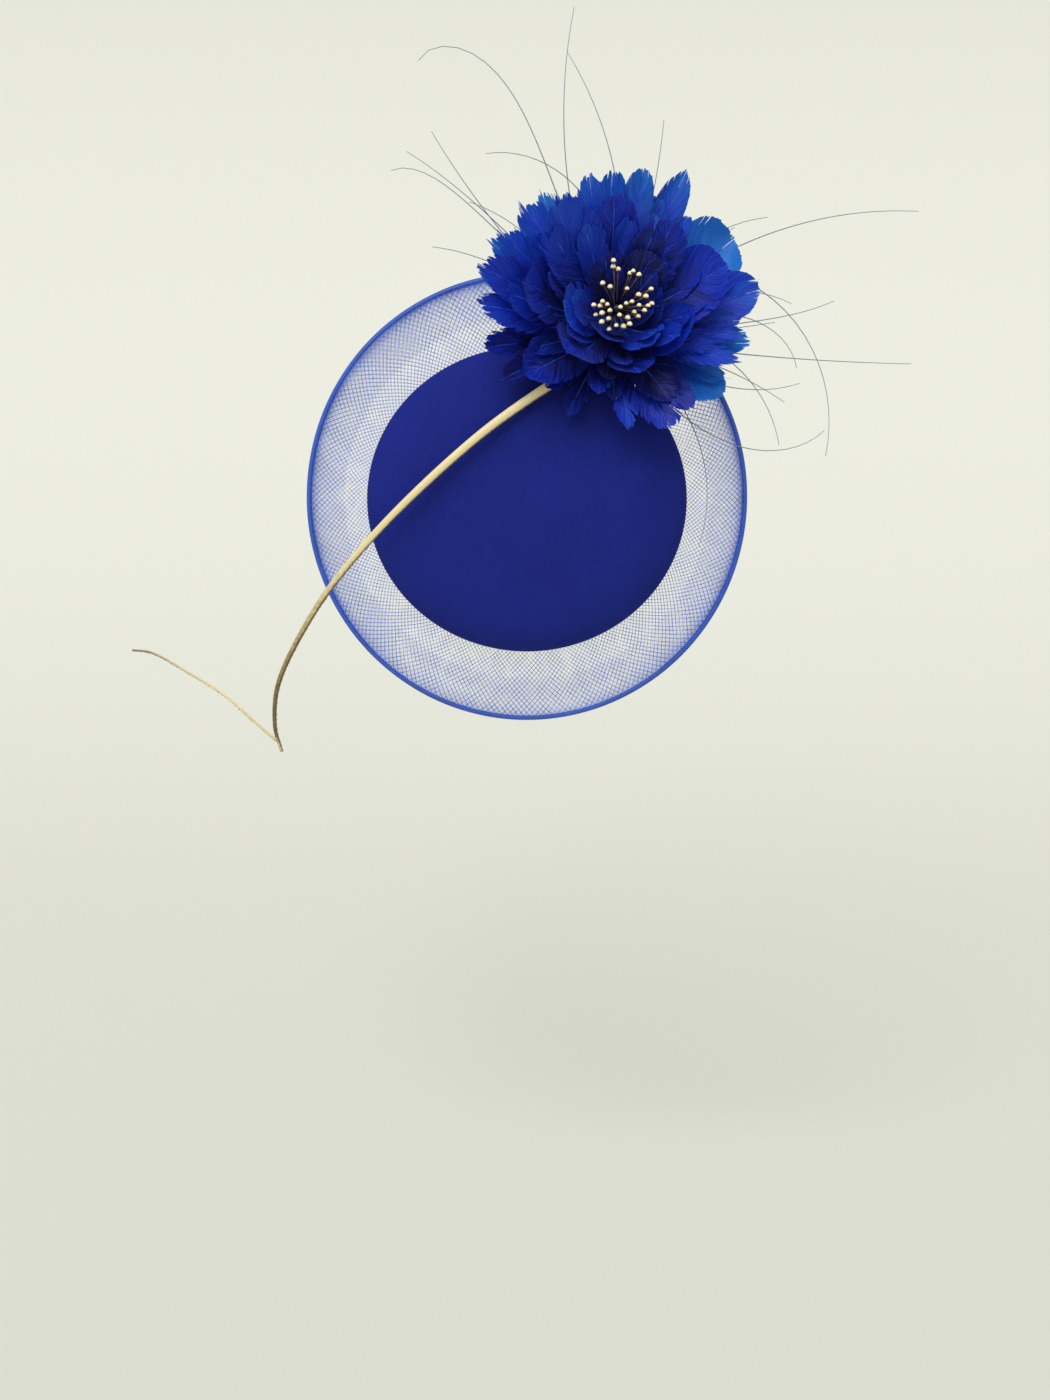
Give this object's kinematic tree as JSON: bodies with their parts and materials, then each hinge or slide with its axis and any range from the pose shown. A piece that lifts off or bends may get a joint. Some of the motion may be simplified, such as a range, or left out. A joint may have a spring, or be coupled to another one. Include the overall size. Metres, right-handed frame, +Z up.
{
  "type": "fascinator",
  "caption": "Domed oval fascinator with a crinoline net brim, a large feather flower with beaded stamens, a long stripped quill and fine feather spines.",
  "frame": {"origin": "centre of the plane of the base's rim, where the base sits on the head", "axes": "+Z up the fascinator as it stands when looked at from the front, +X to the right, -Y out of the crown's front, +Y towards the head"},
  "size_m": [0.3996, 0.0696, 0.3735],
  "materials": {
    "base_cloth": "matt fine weave",
    "crinoline": "open nylon net with a slight sheen",
    "felt": "matt felt",
    "feather": "dyed feather with a soft sheen",
    "stamen": "pearly",
    "quill": "satin horn",
    "spine": "satin",
    "comb": "satin"
  },
  "bodies": {
    "root": {"base_shell": "base_cloth", "crin_brim": "crinoline", "flower_backing": "felt", "petals_back": "feather", "petals_outer": "feather", "petals_middle": "feather", "petals_heart": "feather", "stamens": "stamen", "quill": "quill", "spine_spray": "spine", "hair_comb": "comb"}
  },
  "joints": []
}
